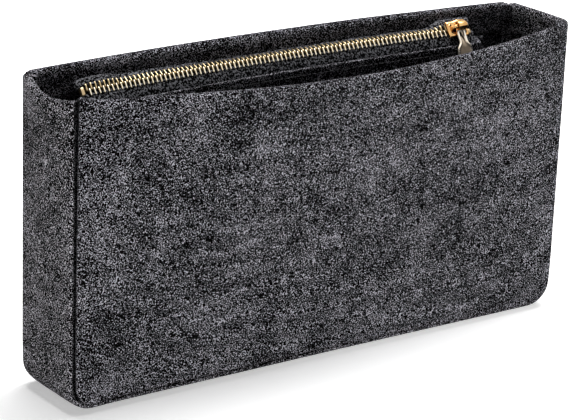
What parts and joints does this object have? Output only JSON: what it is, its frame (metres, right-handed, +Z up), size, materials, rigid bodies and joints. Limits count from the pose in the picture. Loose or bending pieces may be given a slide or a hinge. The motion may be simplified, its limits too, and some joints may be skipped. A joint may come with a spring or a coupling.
{
  "type": "purse organizer insert",
  "caption": "Open felt box that sorts the inside of a handbag, with bowed walls, turned seams, a folded rim and a pocket with a metal zip on its back wall.",
  "frame": {"origin": "middle of the base, where the box stands", "axes": "+X along the box from the end with the bottom stop to the end where the slider is parked, +Y to the back wall with the zip, +Z up"},
  "size_m": [0.265, 0.0639, 0.136],
  "materials": {
    "felt": "matt mottled needle felt",
    "gusset_felt": "matt mottled needle felt",
    "tape": "woven polyester",
    "thread": "sewing thread",
    "gold_metal": "polished gold"
  },
  "bodies": {
    "shell": {"front_panel": "felt", "back_panel": "felt", "gusset_strip": "gusset_felt", "zip_pocket_panel": "felt", "zip_tape_front": "tape", "zip_tape_rear": "tape", "zip_teeth_front": "gold_metal", "zip_teeth_rear": "gold_metal", "zip_bottom_stop": "gold_metal", "zip_top_stop_front": "gold_metal", "zip_top_stop_rear": "gold_metal", "front_seam_thread": "thread", "back_seam_thread": "thread", "zip_thread_front": "thread", "zip_thread_rear": "thread", "pocket_thread_left": "thread", "pocket_thread_right": "thread"},
    "slider": {"slider_body": "gold_metal", "slider_crown": "gold_metal"},
    "pull": {"pull_tab": "gold_metal"}
  },
  "joints": [
    {"name": "slider_travel", "type": "slide", "parent": "shell", "child": "slider", "axis": [-1, 0, -0.0096], "range_m": [0, 0.1894], "deforming": ["zip_teeth_front", "zip_teeth_rear", "zip_tape_front", "zip_tape_rear"]},
    {"name": "pull_swing", "type": "hinge", "parent": "slider", "child": "pull", "pos_m": [0.0917, 0.01048, 0.13088], "axis": [-1, 0, -0.0096], "range_deg": [0, 202]}
  ]
}
